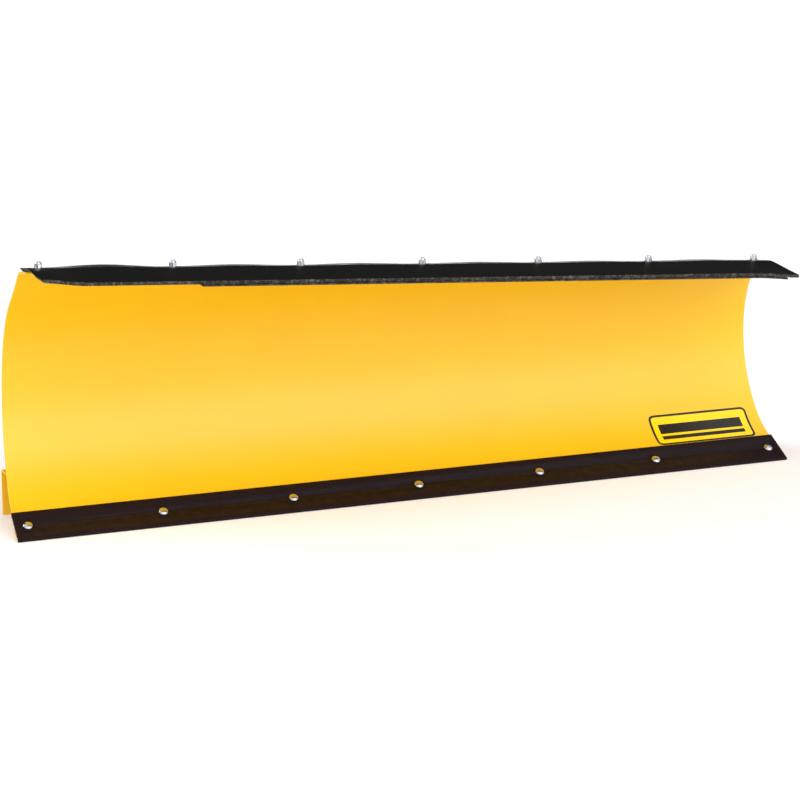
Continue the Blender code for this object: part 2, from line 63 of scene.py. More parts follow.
# Wear bar
BAR_LENGTH = 1.524
BAR_HEIGHT = 0.073
BAR_THICKNESS = 0.0048
BAR_BOLT_DROP = 0.0381  # below the bar's upper edge
BAR_LEAN = math.radians(62.8)  # back from upright
SHEAR_SLANT = 0.0045  # how far the tall end's shear cut runs off square

# Rolled sheet: arc lengths run up the working face from the bar's lower edge
SHEET_THICKNESS = 0.003
SHEET_START = 0.017
FLAT_LENGTH = 0.0808
ROLL = ((0.138, 24), (0.249, 38), (0.221, 30), (0.197, 27))  # radius, degrees turned forward
TALL_END = 0.642
SHORT_END = 0.455
BOTTOM_HALF = BAR_LENGTH / 2 + 0.002
TOP_INSET = 0.012
TALL_END_BOW = 0.0178
SHARED_BELOW = 0.036  # rows run level up to this far below the short end's top
LIP_RISE = math.radians(8)
LIP_LENGTH = 0.048
BEND_SETBACK = 0.010

# Rubber flap
FLAP_THICKNESS = 0.006
FLAP_REAR = 0.004
FLAP_HINGE = 0.051
FLAP_FREE = 0.100
FLAP_DROOP = math.radians(12.5)
FLAP_ENDS = ((0.0015, -0.0040), (-0.0045, 0.0085))  # rear and front corner, from the lip's ends
CORNER_TRIM = (0.030, 0.006)  # cut off the tall end's front corner: back, along
BACKING_START = 0.271  # from the tall end
BACKING_INSET = 0.026  # short of the flap's short end
BACKING_AHEAD = 0.0025  # past the flap's front edge
BACKING_THICKNESS = 0.003
BACKING_REAR = 0.020

# Fasteners, 5/16 inch
BOLT_COUNT = 7
BOLT_INSET = 0.0254
BOLT_RADIUS = 0.00395
BOLT_HEAD_RADIUS = 0.0088
THREAD_PITCH = 0.00141  # 18 threads to the inch
NECK_SIDE = 2 * BOLT_RADIUS + 0.0001
NECK_LENGTH = 0.0042
FLAP_NECK_LENGTH = 0.0025
BAR_BOLT_LENGTH = 0.0202
FLAP_BOLT_LENGTH = 0.0212
NUT_SINK = 0.0013  # how far the flap nuts press into the rubber
FLAP_BOLT_LINE = 0.026
NUT_FLATS = 0.0127
NUT_HEIGHT = 0.0107
FLANGE_RADIUS = 0.0074
HOLE_RADIUS = BOLT_RADIUS + 0.0004
SHEET_HOLE_RADIUS = BOLT_RADIUS + 0.00105

# Rear frame
ANGLE_WEB = 0.136
ANGLE_TOP = 0.090
ANGLE_THICKNESS = 0.003
PLATE_THICKNESS = 0.006
EAR_SPAN = 0.152
EAR_GAP = 0.044
EAR_THICKNESS = 0.008
RIB_PLACES = (-0.585, -EAR_SPAN, EAR_SPAN, 0.585)
RIB_THICKNESS = 0.006
STIFFENER_AT = SHORT_END - 0.050
STIFFENER_HALF = BAR_LENGTH / 2 - 0.062

# Skid shoes
SKID_PLACE = 0.470
POST_RADIUS = 0.0095
SLEEVE_BORE = POST_RADIUS + 0.0005
SLEEVE_RADIUS = SLEEVE_BORE + 0.0059
SLEEVE_BOTTOM = 0.034
SLEEVE_TOP = 0.104
POST_BOTTOM = 0.0070
POST_TOP = 0.150
FOOT_RADIUS = 0.044
BRACKET_DEPTH = 0.030
BRACKET_HALF = 0.014

GAP = 0.0003
BAR_PLACE = -0.0289
CENTRE_Y = -0.012

BAR_UP = Vector((0, math.sin(BAR_LEAN), math.cos(BAR_LEAN)))
BAR_FRONT = Vector((0, -math.cos(BAR_LEAN), math.sin(BAR_LEAN)))
SHEET_ORIGIN = Vector((0, CENTRE_Y + BAR_PLACE, 0)) - BAR_FRONT * GAP
WEB_FRONT = CENTRE_Y + ANGLE_WEB
WEB_BACK = WEB_FRONT + ANGLE_THICKNESS
SKID_Y = WEB_BACK + GAP + BRACKET_DEPTH + GAP + SLEEVE_RADIUS


# ---------------------------------------------------------------- colours and materials


def linear(hex_colour):
    """Linear RGBA of an sRGB hex value."""
    channels = [int(hex_colour[i : i + 2], 16) / 255 for i in (1, 3, 5)]
    return (*[c / 12.92 if c <= 0.04045 else ((c + 0.055) / 1.055) ** 2.4 for c in channels], 1.0)


def shaded(colour, factor):
    """The same colour, lighter or darker."""
    return (*[min(1.0, channel * factor) for channel in colour[:3]], 1.0)


def add_node(tree, kind, settings=None, links=None):
    """Adds a node. settings name its properties or sockets, links the sockets fed by (node, output)."""
    made = tree.nodes.new(kind)
    for name, value in (settings or {}).items():
        if isinstance(name, int) or name in made.inputs:
            made.inputs[name].default_value = value
        else:
            setattr(made, name, value)
    for name, (source, output) in (links or {}).items():
        tree.links.new(source.outputs[output], made.inputs[name])
    return made


def new_surface(name):
    """A material, its tree, its shader and the link to its object's coordinates; the last three are
    None when the material is there already."""
    made = bpy.data.materials.get(name)
    if made is not None:
        return made, None, None, None
    made = bpy.data.materials.new(name)
    made.use_nodes = True
    tree = made.node_tree
    place = add_node(tree, "ShaderNodeTexCoord")
    return made, tree, tree.nodes["Principled BSDF"], {"Vector": (place, "Object")}


def finish(name):
    """RGBA of the colour set for a finish."""
    return (*getattr(bpy.context.scene.plow_finish, f"{name}_colour"), 1.0)


def set_shader(shader, **values):
    """Sets shader sockets; underscores in the names stand for spaces."""
    for name, value in values.items():
        shader.inputs[name.replace("_", " ")].default_value = value


MIX_FACTOR, MIX_A, MIX_B, MIX_RESULT = 0, 6, 7, 2  # colour sockets of the Mix node
NOISE_SPAN = {"From Min": 0.3, "From Max": 0.7}  # most of a noise texture's values


def feed(tree, shader, tone, roughness=None, bump=None, metallic=None):
    """Links the shader's sockets to the nodes that drive them."""
    for node, output, socket in (
        (tone, MIX_RESULT, "Base Color"),
        (metallic, "Result", "Metallic"),
        (roughness, "Result", "Roughness"),
        (bump, "Normal", "Normal"),
    ):
        if node is not None:
            tree.links.new(node.outputs[output], shader.inputs[socket])


def powder_coat():
    """Polyester powder, sprayed on steel and baked: an even satin skin with a fine orange peel."""
    made, tree, shader, here = new_surface("powder_coated_steel_yellow")
    if tree is None:
        return made
    colour = finish("powder")
    set_shader(shader, Roughness=0.42, IOR=1.5, Coat_Weight=0.08, Coat_Roughness=0.25)
    # Film thickness drifts over a hand's width and makes the yellow a touch deeper or paler
    drift = add_node(tree, "ShaderNodeTexNoise", {"Scale": 7.0, "Detail": 3.0}, here)
    tone = add_node(
        tree,
        "ShaderNodeMix",
        {"data_type": "RGBA", MIX_A: shaded(colour, 0.955), MIX_B: shaded(colour, 1.03)},
        {MIX_FACTOR: (drift, "Fac")},
    )
    # Dust nibs in the film are under 1 mm; drawn at 3 mm so that they show
    nibs = add_node(tree, "ShaderNodeTexNoise", {"Scale": 330.0, "Detail": 2.0}, here)
    spread = add_node(
        tree, "ShaderNodeMapRange", {**NOISE_SPAN, "To Min": 0.37, "To Max": 0.47}, {"Value": (nibs, "Fac")}
    )
    # Orange peel waves are 1 to 2 mm long; drawn at 6 mm so that they show
    peel = add_node(tree, "ShaderNodeTexNoise", {"Scale": 160.0, "Detail": 1.0}, here)
    bump = add_node(
        tree, "ShaderNodeBump", {"Strength": 0.12, "Distance": 0.0002}, {"Height": (peel, "Fac")}
    )
    feed(tree, shader, tone, spread, bump)
    return made


def bar_paint():
    """Thin black enamel on hot rolled bar: satin, with faint mill lines along the bar."""
    made, tree, shader, here = new_surface("enamel_on_hot_rolled_bar_black")
    if tree is None:
        return made
    colour = finish("bar")
    set_shader(shader, IOR=1.5, Specular_IOR_Level=0.12)
    # Rolling lines run the bar's whole length, about 2 mm apart
    stretch = add_node(tree, "ShaderNodeMapping", {"Scale": (6.0, 420.0, 420.0)}, here)
    lines = add_node(
        tree, "ShaderNodeTexNoise", {"Scale": 1.0, "Detail": 3.0}, {"Vector": (stretch, "Vector")}
    )
    scale = add_node(tree, "ShaderNodeTexNoise", {"Scale": 60.0, "Detail": 4.0}, here)
    tone = add_node(
        tree,
        "ShaderNodeMix",
        {"data_type": "RGBA", MIX_A: shaded(colour, 0.75), MIX_B: shaded(colour, 1.5)},
        {MIX_FACTOR: (lines, "Fac")},
    )
    spread = add_node(
        tree, "ShaderNodeMapRange", {**NOISE_SPAN, "To Min": 0.52, "To Max": 0.66}, {"Value": (scale, "Fac")}
    )
    bump = add_node(
        tree, "ShaderNodeBump", {"Strength": 0.2, "Distance": 0.0002}, {"Height": (scale, "Fac")}
    )
    feed(tree, shader, tone, spread, bump)
    return made


def foot_paint():
    """Black enamel on a cast iron shoe, rubbed to bare metal underneath where it slides."""
    made, tree, shader, here = new_surface("enamel_on_cast_iron_black")
    if tree is None:
        return made
    colour = finish("foot")
    set_shader(shader, IOR=1.5)
    # Sand casting grain is about 1 mm; drawn at 3 mm so that it shows
    grain = add_node(tree, "ShaderNodeTexNoise", {"Scale": 300.0, "Detail": 3.0}, here)
    patches = add_node(tree, "ShaderNodeTexNoise", {"Scale": 45.0, "Detail": 4.0}, here)
    height = add_node(tree, "ShaderNodeSeparateXYZ", {}, here)
    # Bare below about 3 mm, with a ragged edge
    ragged = add_node(
        tree, "ShaderNodeMath", {"operation": "MULTIPLY", 1: 0.008}, {0: (patches, "Fac")}
    )
    level = add_node(tree, "ShaderNodeMath", {"operation": "ADD"}, {0: (height, "Z"), 1: (ragged, "Value")})
    bare = add_node(
        tree,
        "ShaderNodeMapRange",
        {"From Min": 0.0085, "From Max": 0.0055, "To Min": 0.0, "To Max": 1.0},
        {"Value": (level, "Value")},
    )
    tone = add_node(
        tree,
        "ShaderNodeMix",
        {"data_type": "RGBA", MIX_A: colour, MIX_B: linear("#8E8C88")},
        {MIX_FACTOR: (bare, "Result")},
    )
    spread = add_node(
        tree, "ShaderNodeMapRange", {**NOISE_SPAN, "To Min": 0.4, "To Max": 0.6}, {"Value": (patches, "Fac")}
    )
    bump = add_node(
        tree, "ShaderNodeBump", {"Strength": 0.5, "Distance": 0.0004}, {"Height": (grain, "Fac")}
    )
    feed(tree, shader, tone, spread, bump, bare)
    return made


def zinc_plate():
    """Zinc electroplate on cold headed steel: bright, faintly blue, with a soft cloudy sheen."""
    made, tree, shader, here = new_surface("zinc_electroplated_steel")
    if tree is None:
        return made
    colour = finish("zinc")
    set_shader(shader, Metallic=1.0)
    clouds = add_node(tree, "ShaderNodeTexNoise", {"Scale": 260.0, "Detail": 3.0}, here)
    tone = add_node(
        tree,
        "ShaderNodeMix",
        {"data_type": "RGBA", MIX_A: shaded(colour, 0.82), MIX_B: shaded(colour, 1.08)},
        {MIX_FACTOR: (clouds, "Fac")},
    )
    spread = add_node(
        tree, "ShaderNodeMapRange", {**NOISE_SPAN, "To Min": 0.14, "To Max": 0.24}, {"Value": (clouds, "Fac")}
    )
    feed(tree, shader, tone, spread)
    return made


def rubber_skin():
    """Calendered belting rubber: near black, half gloss, with the print of the cloth it was rolled on."""
    made, tree, shader, here = new_surface("calendered_belting_rubber_black")
    if tree is None:
        return made
    colour = finish("rubber")
    set_shader(shader, IOR=1.52, Specular_IOR_Level=0.09)
    # Cloth print is 1.5 mm to the thread; drawn at 5 mm so that it shows
    warp, weft = (
        add_node(
            tree,
            "ShaderNodeTexWave",
            {"bands_direction": direction, "Scale": 64.0, "Distortion": 0.6, "Detail": 1.0},
            here,
        )
        for direction in "XY"
    )
    print_height = add_node(
        tree, "ShaderNodeMath", {"operation": "ADD"}, {0: (warp, "Fac"), 1: (weft, "Fac")}
    )
    bloom = add_node(tree, "ShaderNodeTexNoise", {"Scale": 22.0, "Detail": 4.0}, here)
    tone = add_node(
        tree,
        "ShaderNodeMix",
        {"data_type": "RGBA", MIX_A: shaded(colour, 0.8), MIX_B: shaded(colour, 1.5)},
        {MIX_FACTOR: (bloom, "Fac")},
    )
    spread = add_node(
        tree, "ShaderNodeMapRange", {**NOISE_SPAN, "To Min": 0.16, "To Max": 0.28}, {"Value": (bloom, "Fac")}
    )
    bump = add_node(
        tree, "ShaderNodeBump", {"Strength": 0.12, "Distance": 0.0002}, {"Height": (print_height, "Value")}
    )
    feed(tree, shader, tone, spread, bump)
    return made


def rubber_cut():
    """The belting's knife-cut edge: dull, with pale cord ends speckling the black."""
    made, tree, shader, here = new_surface("cut_belting_rubber_edge")
    if tree is None:
        return made
    colour = finish("rubber")
    set_shader(shader, IOR=1.5, Roughness=0.85)
    # Cord ends are about 1 mm across; drawn at 3 mm so that they show
    cords = add_node(tree, "ShaderNodeTexVoronoi", {"Scale": 330.0}, here)
    patches = add_node(tree, "ShaderNodeTexNoise", {"Scale": 90.0, "Detail": 4.0}, here)
    share = add_node(
        tree, "ShaderNodeMath", {"operation": "MULTIPLY"}, {0: (cords, "Distance"), 1: (patches, "Fac")}
    )
    pale = add_node(
        tree,
        "ShaderNodeMapRange",
        {"From Min": 0.2, "From Max": 0.5, "To Min": 0.0, "To Max": 1.0},
        {"Value": (share, "Value")},
    )
    tone = add_node(
        tree,
        "ShaderNodeMix",
        {"data_type": "RGBA", MIX_A: shaded(colour, 1.3), MIX_B: linear("#625A50")},
        {MIX_FACTOR: (pale, "Result")},
    )
    bump = add_node(
        tree, "ShaderNodeBump", {"Strength": 0.5, "Distance": 0.0004}, {"Height": (cords, "Distance")}
    )
    feed(tree, shader, tone, bump=bump)
    return made


def nylon():
    """Moulded nylon locking ring: milky and smooth, lighter than the zinc round it."""
    made, tree, shader, here = new_surface("moulded_nylon_natural")
    if tree is None:
        return made
    set_shader(shader, IOR=1.53, Subsurface_Weight=0.1, Subsurface_Scale=0.002)
    flow = add_node(tree, "ShaderNodeTexNoise", {"Scale": 400.0, "Detail": 2.0}, here)
    tone = add_node(
        tree,
        "ShaderNodeMix",
        {"data_type": "RGBA", MIX_A: linear("#D9D6CB"), MIX_B: linear("#EFEDE6")},
        {MIX_FACTOR: (flow, "Fac")},
    )
    spread = add_node(
        tree, "ShaderNodeMapRange", {**NOISE_SPAN, "To Min": 0.35, "To Max": 0.5}, {"Value": (flow, "Fac")}
    )
    feed(tree, shader, tone, spread)
    return made


def label_vinyl(name, hex_colour):
    """Printed vinyl film: smooth and shinier than the powder coat under it."""
    made, tree, shader, here = new_surface(name)
    if tree is None:
        return made
    colour = linear(hex_colour)
    set_shader(shader, IOR=1.46)
    ink = add_node(tree, "ShaderNodeTexNoise", {"Scale": 90.0, "Detail": 3.0}, here)
    tone = add_node(
        tree,
        "ShaderNodeMix",
        {"data_type": "RGBA", MIX_A: shaded(colour, 0.94), MIX_B: shaded(colour, 1.04)},
        {MIX_FACTOR: (ink, "Fac")},
    )
    spread = add_node(
        tree, "ShaderNodeMapRange", {**NOISE_SPAN, "To Min": 0.26, "To Max": 0.34}, {"Value": (ink, "Fac")}
    )
    feed(tree, shader, tone, spread)
    return made


# ---------------------------------------------------------------- mesh helpers


def add_piece(name, form, *materials, smooth_below=35):
    """One object from a bmesh already in place; edges sharper than the angle stay sharp."""
    bmesh.ops.recalc_face_normals(form, faces=form.faces)
    mesh = bpy.data.meshes.new(name)
    form.to_mesh(mesh)
    form.free()
    for material in materials:
        mesh.materials.append(material)
    mesh.shade_smooth()
    mesh.set_sharp_from_angle(angle=math.radians(smooth_below))
    item = bpy.data.objects.new(name, mesh)
    bpy.context.scene.collection.objects.link(item)
    return item


def apply_modifiers(item):
    """Turns what the modifiers show into the object's own mesh."""
    graph = bpy.context.evaluated_depsgraph_get()
    mesh = bpy.data.meshes.new_from_object(item.evaluated_get(graph), depsgraph=graph)
    item.modifiers.clear()
    item.data = mesh


def round_edges(item, width, segments=2, angle=30):
    """Rounds every edge sharper than the angle."""
    bevel = item.modifiers.new("edges", "BEVEL")
    bevel.width = width
    bevel.segments = segments
    bevel.limit_method = "ANGLE"
    bevel.angle_limit = math.radians(angle)
    bevel.miter_outer = "MITER_ARC"
    weighted = item.modifiers.new("normals", "WEIGHTED_NORMAL")
    weighted.keep_sharp = True
    item.data.shade_smooth()
    apply_modifiers(item)


def settle(item, body, slot, *nodes):
    """Gives a finished piece its body and hides the CAD nodes that it stands for; the finish slot is not
    used.
    """
    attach(item, body)
    if nodes:
        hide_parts(*nodes)
    return item


def softened(node, body, slot, material, width):
    """The CAD node's own shape with its flat faces whole again and its edges rounded."""
    form = bmesh.new()
    form.from_mesh(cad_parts[node].data)
    bmesh.ops.remove_doubles(form, verts=form.verts, dist=0.00001)
    bmesh.ops.dissolve_limit(
        form, angle_limit=math.radians(1.0), verts=form.verts, edges=form.edges
    )
    item = add_piece(f"{node}_finished", form, material)
    round_edges(item, width)
    return settle(item, body, slot, node)


def loft(form, rings, closed=False, capped=True, material_of=None):
    """Joins rings of equal length; open lofts are capped, closed ones meet themselves."""
    rows = [[form.verts.new(point) for point in ring] for ring in rings]
    size = len(rings[0])
    pairs = list(zip(rows, rows[1:] + rows[:1] if closed else rows[1:]))
    for lower, upper in pairs:
        for i in range(size):
            j = (i + 1) % size
            face = form.faces.new((lower[i], lower[j], upper[j], upper[i]))
            if material_of is not None:
                face.material_index = material_of(i)
    if capped and not closed:
        form.faces.new(rows[0])
        form.faces.new(rows[-1])
    return rows


def circle(radius, z, count=32):
    steps = [2 * math.pi * i / count for i in range(count)]
    return [Vector((radius * math.cos(a), radius * math.sin(a), z)) for a in steps]


def polygon_reach(flats, sides, angle):
    """Distance from the middle to the edge of a regular polygon at an angle."""
    sector = 2 * math.pi / sides
    return flats / 2 / math.cos((angle % sector) - sector / 2)


def polygon_ring(flats, sides, z, count=32, chamfer=0.0):
    """Ring on a regular polygon; chamfer lowers its corners as a turned chamfer does."""
    ring = []
    for i in range(count):
        angle = 2 * math.pi * i / count
        reach = polygon_reach(flats, sides, angle)
        drop = (reach - flats / 2) * chamfer
        ring.append(Vector((reach * math.cos(angle), reach * math.sin(angle), z - drop)))
    return ring


def aimed(origin, z_axis, x_axis=(1, 0, 0)):
    """Frame at origin whose Z runs along z_axis and whose X stays near x_axis."""
    z = Vector(z_axis).normalized()
    y = z.cross(Vector(x_axis)).normalized()
    x = y.cross(z)
    return Matrix.Translation(origin) @ Matrix((x, y, z)).transposed().to_4x4()


def drill(item, frames, rings):
    """Cuts one hole through the piece at every frame."""
    form = bmesh.new()
    for matrix in frames:
        loft(form, [[matrix @ point for point in ring] for ring in rings])
    cutter = add_piece("cutter", form)
    boolean = item.modifiers.new("holes", "BOOLEAN")
    boolean.operation = "DIFFERENCE"
    boolean.solver = "EXACT"
    boolean.object = cutter
    apply_modifiers(item)
    bpy.data.objects.remove(cutter)


def smoothstep(low, high, value):
    t = min(1.0, max(0.0, (value - low) / (high - low)))
    return t * t * (3 - 2 * t)


# ---------------------------------------------------------------- the rolled sheet


def sheet_point(s):
    """(y, z, lean) of the working face at arc length s; lean is the angle back from upright."""
    lean = BAR_LEAN
    flat = min(s, FLAT_LENGTH)
    y = SHEET_ORIGIN.y + flat * math.sin(lean)
    z = SHEET_ORIGIN.z + flat * math.cos(lean)
    left = s - flat
    for radius, sweep in ROLL:
        turn = min(left / radius, math.radians(sweep))
        y += radius * (math.cos(lean - turn) - math.cos(lean))
        z += radius * (math.sin(lean) - math.sin(lean - turn))
        lean -= turn
        left -= radius * turn
    return y + left * math.sin(lean), z + left * math.cos(lean), lean


def off_sheet(x, s, out):
    """Point at a distance out behind the working face."""
    y, z, lean = sheet_point(s)
    return Vector((x, y + out * math.cos(lean), z - out * math.sin(lean)))


def end_x(share, s):
    """X of the point at arc length s, share 0 at the tall end and 1 at the short end."""
    w = s / TALL_END
    tall = -BOTTOM_HALF + TOP_INSET * w + 4 * TALL_END_BOW * w * (1 - w)
    short = BOTTOM_HALF - TOP_INSET * s / SHORT_END
    return tall + (short - tall) * share


TALL_CORNER = off_sheet(end_x(0, TALL_END), TALL_END, 0)
SHORT_CORNER = off_sheet(end_x(1, SHORT_END), SHORT_END, 0)
TOP_LINE = (SHORT_CORNER - TALL_CORNER).normalized()
TOP_LENGTH = (SHORT_CORNER - TALL_CORNER).length
TOP_MIDDLE = (TALL_CORNER + SHORT_CORNER) / 2
LIP_FORWARD = Vector((0, -math.cos(LIP_RISE), math.sin(LIP_RISE)))
LIP_UP = TOP_LINE.cross(LIP_FORWARD).normalized()
LIP_UP = LIP_UP if LIP_UP.z > 0 else -LIP_UP
LIP_AHEAD = TOP_LINE.cross(LIP_UP).normalized()
LIP_AHEAD = LIP_AHEAD if LIP_AHEAD.y < 0 else -LIP_AHEAD


def first_length(low, high, falls_short):
    """Arc length between low and high at which falls_short stops being true."""
    for _ in range(40):
        middle = (low + high) / 2
        if falls_short(middle):
            low = middle
        else:
            high = middle
    return low


def lip_meets_sheet(share):
    """Arc length at which the roll reaches the lip's plane."""
    start = TALL_CORNER.lerp(SHORT_CORNER, share)
    return first_length(
        SHORT_END - 0.08,
        TALL_END + 0.08,
        lambda s: (off_sheet(start.x, s, 0) - start).dot(LIP_UP) < 0,
    )


def section(share):
    """Working-face points and outward directions of one station, bottom to lip edge."""
    top = lip_meets_sheet(share)
    shared = SHORT_END - SHARED_BELOW
    lengths = [SHEET_START, 0.045]
    lengths += [FLAT_LENGTH + (shared - FLAT_LENGTH) * i / 40 for i in range(41)]
    rise = top - BEND_SETBACK - shared
    lengths += [shared + rise * i / 16 for i in range(1, 17)]
    points = []
    for s in lengths:
        _, _, lean = sheet_point(s)
        outward = Vector((0, math.cos(lean), -math.sin(lean)))
        points.append((off_sheet(end_x(share, s), s, 0), outward))
    line = TALL_CORNER.lerp(SHORT_CORNER, share)
    corner = off_sheet(line.x, top, 0)
    first, turned_from = points[-1]
    last = corner + LIP_FORWARD * BEND_SETBACK
    for i in range(1, 9):
        t = i / 9
        at = first * (1 - t) ** 2 + corner * 2 * t * (1 - t) + last * t * t
        points.append((at, turned_from.lerp(LIP_UP, t).normalized()))
    points.append((last, LIP_UP))
    points.append((last.lerp(line + LIP_FORWARD * LIP_LENGTH, 0.5), LIP_UP))
    points.append((line + LIP_FORWARD * LIP_LENGTH, LIP_UP))
    return points


def lip_point(along, ahead, above):
    """Point set out from the top line's middle: along it, ahead of it and above the lip's underside."""
    return TOP_MIDDLE + TOP_LINE * along + LIP_AHEAD * ahead + LIP_UP * above


def bolt_places(length):
    spacing = (length - 2 * BOLT_INSET) / (BOLT_COUNT - 1)
    return [(i - (BOLT_COUNT - 1) / 2) * spacing for i in range(BOLT_COUNT)]


BAR_BOLTS = bolt_places(BAR_LENGTH)
FLAP_BOLTS = bolt_places(TOP_LENGTH)


def bar_bolt_frame(along):
    """Frame on the bar's front face, Z running back through bar and sheet."""
    face = SHEET_ORIGIN + BAR_FRONT * (BAR_THICKNESS + GAP) + BAR_UP * (BAR_HEIGHT - BAR_BOLT_DROP)
    return aimed(face + Vector((along, 0, 0)), -BAR_FRONT)


def flap_bolt_frame(along):
    """Frame on the lip's underside, Z running up through lip and flap."""
    return aimed(lip_point(along, FLAP_BOLT_LINE, 0), LIP_UP, TOP_LINE)


def square_hole():
    return [polygon_ring(NECK_SIDE + 0.0008, 4, z, 8) for z in (-0.020, 0.020)]


def round_hole(radius):
    return [circle(radius, z, 24) for z in (-0.030, 0.030)]


def build_sheet(stations):
    form = bmesh.new()
    rings = []
    edge = 0.0007
    for i in range(stations + 1):
        rows = section(i / stations)
        front = [point for point, _ in rows]
        back = [point + out * SHEET_THICKNESS for point, out in rows]
        rings.append(front + back[::-1])
    size = len(rings[0])
    rows = loft(form, rings, capped=False)
    for row in (rows[0], rows[-1]):
        for i in range(size // 2 - 1):
            form.faces.new((row[i], row[i + 1], row[size - 2 - i], row[size - 1 - i]))
    item = add_piece("blade_sheet", form, powder_coat())
    round_edges(item, edge, 2, 60)
    drill(item, [bar_bolt_frame(x) for x in BAR_BOLTS], round_hole(SHEET_HOLE_RADIUS))
    drill(item, [flap_bolt_frame(x) for x in FLAP_BOLTS], square_hole())
    settle(item, "blade", "yellow_powder_coat", "moldboard")


def build_bar():
    """The bar, chamfered along its front edges; the tall end's shear cut runs a little off square."""
    form = bmesh.new()
    corner = SHEET_ORIGIN + BAR_FRONT * GAP
    chamfer = 0.0012
    outline = []
    for up, out in (
        (0, 0),
        (0, BAR_THICKNESS - chamfer),
        (chamfer, BAR_THICKNESS),
        (BAR_HEIGHT - chamfer, BAR_THICKNESS),
        (BAR_HEIGHT, BAR_THICKNESS - chamfer),
        (BAR_HEIGHT, 0),
    ):
        outline.append(corner + BAR_UP * up + BAR_FRONT * out)
    rings = []
    for side in (-1, 1):
        ring = []
        for point in outline:
            up = (point - corner).dot(BAR_UP) / BAR_HEIGHT
            end = BAR_LENGTH / 2 - (SHEAR_SLANT * up if side < 0 else 0)
            ring.append(point + Vector((side * end, 0, 0)))
        rings.append(ring)
    loft(form, rings)
    item = add_piece("wear_bar_rolled", form, bar_paint())
    round_edges(item, 0.0004, 2, 30)
    drill(item, [bar_bolt_frame(x) for x in BAR_BOLTS], square_hole())
    settle(item, "blade", "black_paint", "wear_bar")


# ---------------------------------------------------------------- fasteners


def carriage_bolt(name, matrix, length, neck):
    """Domed head below Z = 0, square neck, and a threaded shank above it."""
    form = bmesh.new()
    rings = []
    steps = 8
    for i in range(1, steps + 1):
        angle = math.pi / 2 * i / steps
        rings.append(
            circle(BOLT_HEAD_RADIUS * math.sin(angle) * 0.97, -GAP - 0.0009 - 0.0035 * math.cos(angle))
        )
    rings += [
        circle(BOLT_HEAD_RADIUS, -GAP - 0.0006),
        circle(BOLT_HEAD_RADIUS, -GAP - 0.0002),
        circle(BOLT_HEAD_RADIUS - 0.0003, -GAP),
        polygon_ring(NECK_SIDE, 4, -GAP),
        polygon_ring(NECK_SIDE, 4, neck),
        circle(BOLT_RADIUS - 0.0002, neck),
    ]
    z = neck + 0.0006
    while z < length - THREAD_PITCH:
        rings.append(circle(BOLT_RADIUS - 0.0006, z))
        rings.append(circle(BOLT_RADIUS, z + THREAD_PITCH * 0.45))
        rings.append(circle(BOLT_RADIUS, z + THREAD_PITCH * 0.55))
        z += THREAD_PITCH
    rings.append(circle(BOLT_RADIUS - 0.0006, length - 0.0004))
    rings.append(circle(BOLT_RADIUS - 0.0011, length))
    loft(form, rings)
    form.transform(matrix)
    return add_piece(name, form, zinc_plate())


def lock_nut(name, matrix):
    """Flange nut with a chamfered hex, a crimped collar and a nylon ring inside it."""
    form = bmesh.new()
    count = 48
    rings = [
        circle(HOLE_RADIUS, 0, count),
        circle(FLANGE_RADIUS - 0.0004, 0, count),
        circle(FLANGE_RADIUS, 0.0004, count),
        circle(FLANGE_RADIUS, 0.0011, count),
        circle(FLANGE_RADIUS - 0.0006, 0.0016, count),
        polygon_ring(NUT_FLATS, 6, 0.0024, count),
        polygon_ring(NUT_FLATS, 6, 0.0078, count, chamfer=0.9),
        circle(NUT_FLATS / 2 * 0.975, 0.0079, count),
        circle(0.0059, 0.0085, count),
        circle(0.0057, 0.0098, count),
        circle(0.0054, NUT_HEIGHT - 0.0002, count),
        circle(0.0051, NUT_HEIGHT, count),
        circle(0.0048, NUT_HEIGHT - 0.0002, count),
        circle(0.0046, NUT_HEIGHT - 0.0008, count),
        circle(HOLE_RADIUS, NUT_HEIGHT - 0.0009, count),
    ]
    rows = loft(form, rings, closed=True)
    for face in form.faces:
        if all(vert in rows[-1] or vert in rows[-2] for vert in face.verts):
            face.material_index = 1
    form.transform(matrix)
    return add_piece(name, form, zinc_plate(), nylon(), smooth_below=25)


def fasten(row, matrices, stack, length, neck, twist):
    """A bolt and a nut at every frame; stack is the nut's height over the bolt's seat."""
    for i, matrix in enumerate(matrices, 1):
        turn = Matrix.Rotation(twist * i, 4, "Z")
        bolt = carriage_bolt(f"{row}_bolt_{i}_plated", matrix, length, neck)
        settle(bolt, "blade", "zinc_plated_steel", f"{row}_bolt_{i}")
        nut = lock_nut(f"{row}_nut_{i}_plated", matrix @ Matrix.Translation((0, 0, stack)) @ turn)
        settle(nut, "blade", "zinc_plated_steel", f"{row}_nut_{i}")


def build_bar_fasteners():
    stack = BAR_THICKNESS + SHEET_THICKNESS + 2 * GAP
    matrices = [bar_bolt_frame(x) for x in BAR_BOLTS]
    fasten("bar", matrices, stack, BAR_BOLT_LENGTH, NECK_LENGTH, 0.7)


def build_flap_fasteners():
    stack = SHEET_THICKNESS + FLAP_THICKNESS + 2 * GAP - NUT_SINK
    matrices = [flap_bolt_frame(x) for x in FLAP_BOLTS]
    fasten("flap", matrices, stack, FLAP_BOLT_LENGTH, FLAP_NECK_LENGTH, 1.1)


# ---------------------------------------------------------------- rubber flap


UNDERCUT = 0.0042  # the tall end's knife cut leans in under the flap
SHORT_END_BOW = 0.016  # outward curve of the short end
REAR_CORNER_CUT = 0.006  # taken off the short end's rear corner
BEND_FROM, BEND_TO = FLAP_HINGE - 0.007, FLAP_HINGE + 0.010
BULGES = (0.0045, 0.0024, 0.0022, 0.0020, 0.0018, 0.0020)  # rear edge's rise between the bolts
TALL_END_CURL = 0.006  # rise of the front corner at the tall end
SHORT_END_DROP = 0.0040  # fall of the front corner at the short end


